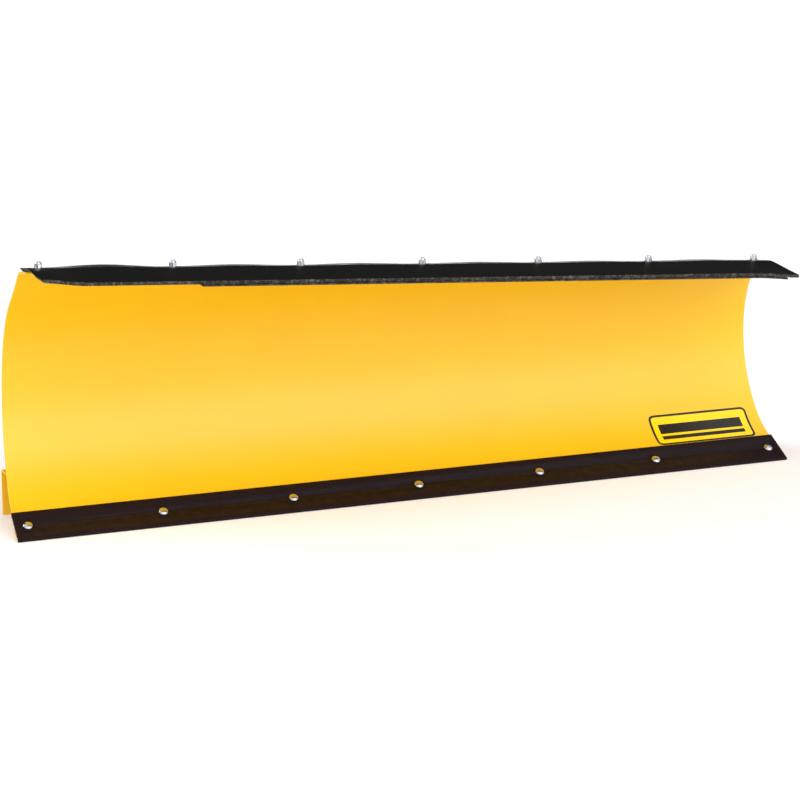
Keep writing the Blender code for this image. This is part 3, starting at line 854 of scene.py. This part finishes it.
def flap_end(side, ahead):
    """Distance along the top line of one end of the flap, at a distance ahead of that line."""
    rear, front = FLAP_ENDS[side]
    reach = (ahead - FLAP_REAR) / (FLAP_HINGE + FLAP_FREE - FLAP_REAR)
    corner = (TALL_CORNER, SHORT_CORNER)[side].x
    bow = 0.0
    if side == 1:
        bow = SHORT_END_BOW * reach * (1 - reach)
        bow -= REAR_CORNER_CUT * (1 - smoothstep(0.0, 0.18, reach))
    across = corner + rear + (front - rear) * reach + bow
    return (across - TOP_MIDDLE.x - LIP_AHEAD.x * ahead) / TOP_LINE.x


def flap_bend(ahead):
    """(reach, rise, droop) of the ply's middle, as it bends down past the lip's edge."""
    steps = 24
    reach, rise, droop = min(ahead, BEND_FROM), 0.0, 0.0
    over = min(ahead, BEND_TO) - BEND_FROM
    if over > 0:
        for i in range(steps):
            at = BEND_FROM + over * (i + 0.5) / steps
            droop = FLAP_DROOP * smoothstep(BEND_FROM, BEND_TO, at)
            reach += over / steps * math.cos(droop)
            rise -= over / steps * math.sin(droop)
        droop = FLAP_DROOP * smoothstep(BEND_FROM, BEND_TO, ahead)
    rest = max(0.0, ahead - BEND_TO)
    return reach + rest * math.cos(droop), rise - rest * math.sin(droop), droop


def flap_lift(along, ahead):
    """How far the rubber stands off its flat lie: humps between bolts, a curled and a drooped end."""
    lift = 0.0
    for i, rise in enumerate(BULGES):
        t = (along - FLAP_BOLTS[i]) / (FLAP_BOLTS[i + 1] - FLAP_BOLTS[i])
        if 0 < t < 1:
            lift += rise * math.sin(math.pi * t) ** 2 * (1 - smoothstep(0.004, 0.075, ahead))
    front = smoothstep(0.030, 0.105, ahead)
    lift += TALL_END_CURL * front * (1 - smoothstep(0.0, 0.09, along - flap_end(0, ahead)))
    near_short_end = 1 - smoothstep(0.0, 0.10, flap_end(1, ahead) - along)
    lift -= SHORT_END_DROP * near_short_end * smoothstep(0.030, 0.130, ahead)
    return lift


def pressed(along, ahead):
    """How deep the nuts press the rubber's upper face."""
    away = min(math.hypot(along - place, ahead - FLAP_BOLT_LINE) for place in FLAP_BOLTS)
    return (NUT_SINK + 0.0001) * (1 - smoothstep(0.0085, 0.019, away))


def ply(name, start, fronts, depth, thickness, columns, inset=0.0):
    """A ply of the flap. start is where it begins along the top line, or None for the tall end;
    fronts are its distances ahead, and depth is how far its middle lies under the main ply's."""
    form = bmesh.new()
    edge = 0.0006
    half = thickness / 2
    centre = SHEET_THICKNESS + GAP + FLAP_THICKNESS / 2
    rings = []
    for i in range(-1, columns + 2):
        u = min(1.0, max(0.0, i / columns))
        thick = half - edge if i in (-1, columns + 1) else half
        upper, lower = [], []
        for ahead in fronts:
            tall = flap_end(0, ahead) if start is None else start
            short = flap_end(1, ahead) - inset
            if start is None:
                trim = (ahead - FLAP_HINGE - FLAP_FREE + CORNER_TRIM[0]) / CORNER_TRIM[0]
                tall += CORNER_TRIM[1] * max(0.0, trim)
            rounding = edge * (1 if i == 0 else -1 if i == columns else 0)
            along = tall + (short - tall) * u + rounding
            reach, rise, droop = flap_bend(ahead)
            lift = flap_lift(along, ahead)
            normal = (math.sin(droop), math.cos(droop))
            undercut = UNDERCUT if start is None and i < 1 else 0.0
            for rows, side, shift in (
                (upper, thick - pressed(along, ahead), 0.0),
                (lower, -thick, undercut),
            ):
                off = side - depth
                above = centre + rise + lift + off * normal[1]
                rows.append(lip_point(along + shift, reach + off * normal[0], above))
        rings.append(upper + lower[::-1])
    size = len(fronts)
    rows = loft(form, rings, capped=False, material_of=lambda i: 1 if i % size == size - 1 else 0)
    for row in (rows[0], rows[-1]):
        for i in range(size - 1):
            face = form.faces.new((row[i], row[i + 1], row[2 * size - 2 - i], row[2 * size - 1 - i]))
            face.material_index = 1
    return add_piece(name, form, rubber_skin(), rubber_cut(), smooth_below=50)


def build_flap(columns):
    tip = FLAP_HINGE + FLAP_FREE
    clamped = [FLAP_REAR + (BEND_FROM - FLAP_REAR) * i / 8 for i in range(9)]
    bend = [BEND_FROM + (BEND_TO - BEND_FROM) * i / 6 for i in range(1, 7)]
    free = [BEND_TO + (tip - BEND_TO) * i / 14 for i in range(1, 15)]
    flap = ply("rubber_flap", None, clamped + bend + free, 0.0, FLAP_THICKNESS, columns)
    drill(flap, [flap_bolt_frame(x) for x in FLAP_BOLTS], round_hole(HOLE_RADIUS))
    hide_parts("flap_root", "flap_free")
    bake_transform(flap)
    rear = FLAP_HINGE + BACKING_REAR
    fronts = [rear + (tip + BACKING_AHEAD - rear) * i / 12 for i in range(13)]
    under = (FLAP_THICKNESS + BACKING_THICKNESS) / 2 + GAP
    start = BACKING_START - TOP_LENGTH / 2
    columns = columns * 3 // 4
    backing = ply("flap_second_ply", start, fronts, under, BACKING_THICKNESS, columns, BACKING_INSET)
    settle(backing, "flap", "black_rubber", "flap_backing")


# ---------------------------------------------------------------- rear frame


def build_rear_frame():
    for node in ("rear_angle", "upper_stiffener"):
        softened(node, "blade", "yellow_powder_coat", powder_coat(), 0.0008)


def build_mount():
    nodes = ["centre_plate", *(f"rib_{i}" for i in range(1, 5)), *(f"hinge_ear_{i}" for i in range(1, 5))]
    for node in nodes:
        softened(node, "blade", "yellow_powder_coat", powder_coat(), 0.0009)


def bead(form, start, end, outward, radius):
    """One rippled weld bead from start to end; outward points away from both plates."""
    run = end - start
    length = run.length
    step = 0.0010
    count = max(6, round(length / step))
    out = Vector(outward).normalized()
    side = run.normalized().cross(out)
    rings = []
    for i in range(count + 1):
        t = i / count
        ripple = 1 + 0.10 * math.cos(2 * math.pi * t * length / 0.0042)
        swell = math.sqrt(max(0.02, 1 - max(0.0, abs(2 * t - 1) * length - length + 0.008) / 0.008))
        reach = radius * ripple * min(1.0, swell)
        ring = []
        for j in range(8):
            angle = 2 * math.pi * j / 8
            ring.append(
                start + run * t + (side * math.cos(angle) + out * math.sin(angle) * 0.8) * reach
            )
        rings.append(ring)
    loft(form, rings)


def build_welds(radius):
    """Fillet welds, painted over with the frame: stitches on the long seams, full beads on the ears."""
    form = bmesh.new()
    skin = SHEET_THICKNESS + GAP
    seam = sheet_length_at(ANGLE_TOP)
    stitch = 0.045
    for i in range(9):
        x = -0.72 + 0.18 * i - stitch / 2
        if min(abs(x + stitch / 2 - rib) for rib in RIB_PLACES) < 0.03:
            x += 0.06
        low = off_sheet(x, seam, skin)
        bead(form, low, low + Vector((stitch, 0, 0)), (0, 0.5, 1), radius)
        if abs(x) > STIFFENER_HALF - stitch:
            continue
        for side in (-1, 1):
            at = off_sheet(x, STIFFENER_AT + side * 0.0015, skin)
            _, _, lean = sheet_point(STIFFENER_AT)
            away = Vector((0, math.cos(lean), -math.sin(lean)))
            up = Vector((0, math.sin(lean), math.cos(lean)))
            bead(form, at, at + Vector((stitch, 0, 0)), away + up * side, radius * 0.8)
    for x in RIB_PLACES:
        for side in (-1, 1):
            place = x + side * RIB_THICKNESS / 2
            for s in (seam + 0.012, seam + 0.105, seam + 0.200):
                for k in range(4):
                    a, b = s + 0.0115 * k, s + 0.0115 * (k + 1)
                    _, _, lean = sheet_point(s)
                    away = Vector((side, math.cos(lean), -math.sin(lean)))
                    bead(form, off_sheet(place, a, skin), off_sheet(place, b, skin), away, radius)
            flange = Vector((place, WEB_BACK - 0.012, ANGLE_TOP))
            bead(form, flange, flange - Vector((0, 0.022, 0)), (side, 0, 1), radius)
    back = WEB_BACK + GAP
    top = ANGLE_TOP - 0.003
    for x in (-0.19, -0.03, 0.13):
        for z, lean in ((top, 1), (0.012, -1)):
            at = Vector((x, back, z))
            bead(form, at, at + Vector((0.06, 0, 0)), (0, 1, lean), radius)
    plate = back + PLATE_THICKNESS
    for side in (-EAR_SPAN, EAR_SPAN):
        for half in (-1, 1):
            middle = side + half * (EAR_GAP + EAR_THICKNESS) / 2
            for edge in (-1, 1):
                at = Vector((middle + edge * EAR_THICKNESS / 2, plate, 0.023))
                bead(form, at, at + Vector((0, 0, 0.060)), (edge, 1, 0), radius)
    for side in (-SKID_PLACE, SKID_PLACE):
        for edge in (-1, 1):
            at = Vector((side + edge * BRACKET_HALF, back, SLEEVE_BOTTOM + 0.010))
            bead(form, at, at + Vector((0, 0, 0.046)), (edge, 1, 0), radius)
            at = Vector((side + edge * 0.0105, SKID_Y - SLEEVE_RADIUS + 0.003, SLEEVE_BOTTOM + 0.010))
            bead(form, at, at + Vector((0, 0, 0.042)), (edge, 0.3, 0), radius)
    item = add_piece("weld_beads", form, powder_coat(), smooth_below=60)
    settle(item, "blade", "yellow_powder_coat")


def sheet_length_at(height):
    """Arc length at which the sheet's rear face reaches a height above the floor."""
    return first_length(0.09, 0.40, lambda s: off_sheet(0, s, SHEET_THICKNESS).z < height)


# ---------------------------------------------------------------- skid shoes


def turned(name, matrix, profile, material, closed=False, count=48, smooth_below=35):
    """A lathe-turned piece from (radius, height) pairs."""
    form = bmesh.new()
    loft(form, [circle(radius, z, count) for radius, z in profile], closed=closed)
    form.transform(matrix)
    return add_piece(name, form, material, smooth_below=smooth_below)


def build_skid(label, side):
    place = Matrix.Translation((side * SKID_PLACE, SKID_Y, 0))
    softened(f"skid_bracket_{label}", "blade", "yellow_powder_coat", powder_coat(), 0.0015)
    softened(f"skid_boss_{label}", "blade", "yellow_powder_coat", powder_coat(), 0.0006)
    softened(f"lock_bolt_{label}", f"lock_{label}", "zinc_plated_steel", zinc_plate(), 0.0004)
    edge = 0.0008
    sleeve = turned(
        f"skid_sleeve_{label}_turned",
        place,
        (
            (SLEEVE_BORE, SLEEVE_BOTTOM + edge),
            (SLEEVE_BORE + edge, SLEEVE_BOTTOM),
            (SLEEVE_RADIUS - edge, SLEEVE_BOTTOM),
            (SLEEVE_RADIUS, SLEEVE_BOTTOM + edge),
            (SLEEVE_RADIUS, SLEEVE_TOP - edge),
            (SLEEVE_RADIUS - edge, SLEEVE_TOP),
            (SLEEVE_BORE + edge, SLEEVE_TOP),
            (SLEEVE_BORE, SLEEVE_TOP - edge),
        ),
        powder_coat(),
        closed=True,
    )
    lock = aimed(Vector((side * SKID_PLACE, SKID_Y, (SLEEVE_BOTTOM + SLEEVE_TOP) / 2)), (0, 1, 0))
    drill(sleeve, [lock], [circle(0.0053, z, 24) for z in (0.006, 0.020)])
    settle(sleeve, "blade", "yellow_powder_coat", f"skid_sleeve_{label}")
    post = [(POST_RADIUS - 0.0015, POST_BOTTOM), (POST_RADIUS, POST_BOTTOM + 0.0015)]
    for z in (0.118, 0.130):
        # Snap-ring grooves round the upper post
        post += [(POST_RADIUS, z), (POST_RADIUS - 0.0011, z + 0.0003)]
        post += [(POST_RADIUS - 0.0011, z + 0.0019), (POST_RADIUS, z + 0.0022)]
    post += [(POST_RADIUS, POST_TOP - 0.0018), (POST_RADIUS - 0.0006, POST_TOP - 0.0005)]
    post.append((POST_RADIUS - 0.0018, POST_TOP))
    item = turned(f"skid_post_{label}_turned", place, post, zinc_plate())
    settle(item, f"skid_{label}", "zinc_plated_steel", f"skid_post_{label}")
    hub = POST_RADIUS + GAP
    foot = [
        (hub, POST_BOTTOM - GAP),
        (hub, 0.0195),
        (hub + 0.0006, 0.0202),
        (hub + 0.0036, 0.0202),
        (hub + 0.0046, 0.0192),
        (hub + 0.0052, 0.0100),
        (hub + 0.0072, 0.0072),
        (FOOT_RADIUS - 0.018, 0.0062),
        (FOOT_RADIUS - 0.0110, 0.0105),
        (FOOT_RADIUS - 0.0050, 0.0160),
        (FOOT_RADIUS - 0.0034, 0.0167),
        (FOOT_RADIUS - 0.0012, 0.0160),
        (FOOT_RADIUS, 0.0140),
        (FOOT_RADIUS - 0.0012, 0.0118),
        (FOOT_RADIUS - 0.0070, 0.0052),
        (FOOT_RADIUS - 0.0120, 0.0012),
        (FOOT_RADIUS - 0.0160, 0.0),
    ]
    item = turned(f"skid_foot_{label}_cast", place, foot, foot_paint(), count=64, smooth_below=50)
    settle(item, f"skid_{label}", "black_foot_paint", f"skid_foot_{label}")


# ---------------------------------------------------------------- label


def build_label():
    """A blank vinyl label with a dark rim and two plain stripes, wrapped on the sheet's curve."""
    form = bmesh.new()
    low, high = 0.0780, 0.1500
    left, right = 0.520, 0.735
    rim, corner, lift = 0.0046, 0.011, 0.0002
    height = high - low
    edge_rows = [0.0, 0.0008, 0.0018, 0.003, rim, 0.0065, 0.0085, corner]
    rows = edge_rows + [0.0145, 0.0235, 0.029, 0.040, 0.051]
    rows += [height - row for row in reversed(edge_rows)]
    stripe_left, stripe_right = 0.016, 0.197
    columns = [0.0, rim, stripe_left, 0.030, 0.060, 0.100, 0.140, 0.180, stripe_right]
    columns += [right - left - rim, right - left]
    stripes = ((0.0145, 0.0235), (0.029, 0.051))
    grid = []
    for v in rows:
        near = min(v, height - v)
        cut_in = 0.0
        if near < corner:
            cut_in = corner - math.sqrt(corner**2 - (corner - near) ** 2)
        inner_in = rim
        if near < corner:
            room = (corner - rim) ** 2 - (corner - near) ** 2
            inner_in = corner - math.sqrt(room) if room > 0 else corner
        line = []
        for k, u in enumerate(columns):
            if k == 0:
                u = cut_in
            elif k == len(columns) - 1:
                u = right - left - cut_in
            elif k == 1:
                u = max(inner_in, cut_in + 0.0002)
            elif k == len(columns) - 2:
                u = right - left - max(inner_in, cut_in + 0.0002)
            line.append(form.verts.new(off_sheet(left + u, low + v, -lift)))
        grid.append(line)
    for j in range(len(rows) - 1):
        middle = (rows[j] + rows[j + 1]) / 2
        for k in range(len(columns) - 1):
            face = form.faces.new((grid[j][k], grid[j][k + 1], grid[j + 1][k + 1], grid[j + 1][k]))
            border = k in (0, len(columns) - 2) or middle < rim or middle > height - rim
            inside = columns[k] >= stripe_left and columns[k + 1] <= stripe_right
            stripe = inside and any(a <= middle <= b for a, b in stripes)
            face.material_index = 1 if border or stripe else 0
    item = add_piece(
        "blank_label",
        form,
        label_vinyl("printed_vinyl_yellow", "#FFD800"),
        label_vinyl("printed_vinyl_black", "#1A1412"),
    )
    settle(item, "blade", "yellow_powder_coat")


# ---------------------------------------------------------------- stage


def build_stage():
    scene = bpy.context.scene
    scene.view_settings.view_transform = "Standard"

    form = bmesh.new()
    bmesh.ops.create_grid(form, x_segments=8, y_segments=8, size=30)
    floor, tree, shader, here = new_surface("matt_paper_white")
    set_shader(shader, Roughness=0.9, Emission_Strength=0.12, Emission_Color=(1, 1, 1, 1))
    fibres = add_node(tree, "ShaderNodeTexNoise", {"Scale": 2.0, "Detail": 3.0}, here)
    tone = add_node(
        tree,
        "ShaderNodeMix",
        {"data_type": "RGBA", MIX_A: linear("#F4F4F4"), MIX_B: linear("#F8F8F8")},
        {MIX_FACTOR: (fibres, "Fac")},
    )
    feed(tree, shader, tone)
    add_piece("floor", form, floor)

    world = bpy.data.worlds.new("soft_studio")
    world.use_nodes = True
    scene.world = world
    tree = world.node_tree
    background = tree.nodes["Background"]
    place = add_node(tree, "ShaderNodeTexCoord")
    # Bright in front of the blade and above it, dim behind it
    facing = add_node(
        tree,
        "ShaderNodeVectorMath",
        {"operation": "DOT_PRODUCT", 1: (0, -0.85, 0.53)},
        {0: (place, "Generated")},
    )
    glow = add_node(
        tree,
        "ShaderNodeMapRange",
        {"From Min": -0.15, "From Max": 0.75, "To Min": 0.05, "To Max": 1.36},
        {"Value": (facing, "Value")},
    )
    background.inputs["Color"].default_value = (1, 1, 1, 1)
    tree.links.new(glow.outputs["Result"], background.inputs["Strength"])

    for name, turn, strength, angle in (
        ("key", (66, 0, 14), 0.85, 40),
        ("fill_behind", (62, 0, -125), 1.3, 40),
    ):
        light = bpy.data.lights.new(name, "SUN")
        light.energy = strength
        light.angle = math.radians(angle)
        item = bpy.data.objects.new(name, light)
        item.rotation_euler = [math.radians(a) for a in turn]
        scene.collection.objects.link(item)

    lens = bpy.data.cameras.new("camera")
    lens.lens = 117
    lens.sensor_width = 36
    lens.clip_end = 100
    camera = bpy.data.objects.new("camera", lens)
    camera.location = (-1.7857, -4.2866, 1.2547)
    camera.rotation_euler = [math.radians(a) for a in (76.94, 0, -22.24)]
    scene.collection.objects.link(camera)
    scene.camera = camera


# ---------------------------------------------------------------- add-on


class PlowSizes(bpy.types.PropertyGroup):
    """Sizes of the drawn detail. The object's own dimensions come from its frame."""

    stations: IntProperty(
        name="Sheet stations", description="Cross sections along the sheet", default=48, min=8, max=200
    )
    flap_columns: IntProperty(
        name="Flap columns", description="Rows of faces along the rubber flap", default=300, min=30, max=600
    )
    weld_radius: FloatProperty(
        name="Weld size", description="Half width of a fillet weld", default=0.003, unit="LENGTH"
    )


def finish_colour(name, description, hex_colour):
    return FloatVectorProperty(
        name=name, description=description, default=linear(hex_colour)[:3], subtype="COLOR", min=0, max=1
    )


class PlowFinish(bpy.types.PropertyGroup):
    """Colours of the finishes."""

    powder_colour: finish_colour("Powder coat", "Colour of the blade and its frame", "#F7C012")
    bar_colour: finish_colour("Wear bar", "Colour of the wear bar's enamel", "#180C10")
    foot_colour: finish_colour("Skid feet", "Colour of the feet's enamel", "#1A1A1A")
    rubber_colour: finish_colour("Rubber", "Colour of the flap", "#0D0C0B")
    zinc_colour: finish_colour("Zinc plate", "Colour of the bolts, nuts and posts", "#C4C8CD")


class PLOW_OT_sheet(bpy.types.Operator):
    """Build the rolled blade sheet"""

    bl_idname = "plow.sheet"
    bl_label = "Blade sheet"

    def execute(self, context):
        build_sheet(context.scene.plow_sizes.stations)
        return {"FINISHED"}


class PLOW_OT_wear_bar(bpy.types.Operator):
    """Build the wear bar along the blade's lower edge"""

    bl_idname = "plow.wear_bar"
    bl_label = "Wear bar"

    def execute(self, context):
        build_bar()
        return {"FINISHED"}


class PLOW_OT_bar_fasteners(bpy.types.Operator):
    """Build the wear bar's bolts and nuts"""

    bl_idname = "plow.bar_fasteners"
    bl_label = "Wear bar bolts and nuts"

    def execute(self, context):
        build_bar_fasteners()
        return {"FINISHED"}


class PLOW_OT_flap(bpy.types.Operator):
    """Build the rubber flap and its second ply"""

    bl_idname = "plow.flap"
    bl_label = "Rubber flap"

    def execute(self, context):
        build_flap(context.scene.plow_sizes.flap_columns)
        return {"FINISHED"}


class PLOW_OT_flap_fasteners(bpy.types.Operator):
    """Build the flap's bolts and nuts"""

    bl_idname = "plow.flap_fasteners"
    bl_label = "Flap bolts and nuts"

    def execute(self, context):
        build_flap_fasteners()
        return {"FINISHED"}


class PLOW_OT_rear_frame(bpy.types.Operator):
    """Build the two formed angles across the back"""

    bl_idname = "plow.rear_frame"
    bl_label = "Rear angles"

    def execute(self, context):
        build_rear_frame()
        return {"FINISHED"}


class PLOW_OT_mount(bpy.types.Operator):
    """Build the ribs, centre plate and push frame ears"""

    bl_idname = "plow.mount"
    bl_label = "Ribs and mount"

    def execute(self, context):
        build_mount()
        return {"FINISHED"}


class PLOW_OT_welds(bpy.types.Operator):
    """Build the weld beads"""

    bl_idname = "plow.welds"
    bl_label = "Weld beads"

    def execute(self, context):
        build_welds(context.scene.plow_sizes.weld_radius)
        return {"FINISHED"}


class PLOW_OT_skids(bpy.types.Operator):
    """Build the two skid shoes"""

    bl_idname = "plow.skids"
    bl_label = "Skid shoes"

    def execute(self, context):
        build_skid("left", -1)
        build_skid("right", 1)
        return {"FINISHED"}


class PLOW_OT_label(bpy.types.Operator):
    """Build the blank label"""

    bl_idname = "plow.label"
    bl_label = "Blank label"

    def execute(self, context):
        build_label()
        return {"FINISHED"}


class PLOW_OT_stage(bpy.types.Operator):
    """Build the floor, the lights and the camera"""

    bl_idname = "plow.stage"
    bl_label = "Stage"

    def execute(self, context):
        build_stage()
        return {"FINISHED"}


OPERATORS = (
    PLOW_OT_sheet,
    PLOW_OT_wear_bar,
    PLOW_OT_bar_fasteners,
    PLOW_OT_flap,
    PLOW_OT_flap_fasteners,
    PLOW_OT_rear_frame,
    PLOW_OT_mount,
    PLOW_OT_welds,
    PLOW_OT_skids,
    PLOW_OT_label,
    PLOW_OT_stage,
)


class PLOW_PT_panel(bpy.types.Panel):
    """Lists the blade's sizes, colours and pieces"""

    bl_label = "Plow Blade"
    bl_idname = "PLOW_PT_panel"
    bl_space_type = "VIEW_3D"
    bl_region_type = "UI"
    bl_category = "Plow Blade"

    def draw(self, context):
        for group in (context.scene.plow_sizes, context.scene.plow_finish):
            for name in group.__annotations__:
                self.layout.prop(group, name)
        for operator in OPERATORS:
            self.layout.operator(operator.bl_idname)


CLASSES = (PlowSizes, PlowFinish, *OPERATORS, PLOW_PT_panel)


def register():
    for item in CLASSES:
        bpy.utils.register_class(item)
    bpy.types.Scene.plow_sizes = PointerProperty(type=PlowSizes)
    bpy.types.Scene.plow_finish = PointerProperty(type=PlowFinish)


def unregister():
    del bpy.types.Scene.plow_finish
    del bpy.types.Scene.plow_sizes
    for item in reversed(CLASSES):
        bpy.utils.unregister_class(item)


def main():
    register()
    for operator in OPERATORS:
        family, name = operator.bl_idname.split(".")
        getattr(getattr(bpy.ops, family), name)()


if __name__ == "__main__":
    main()
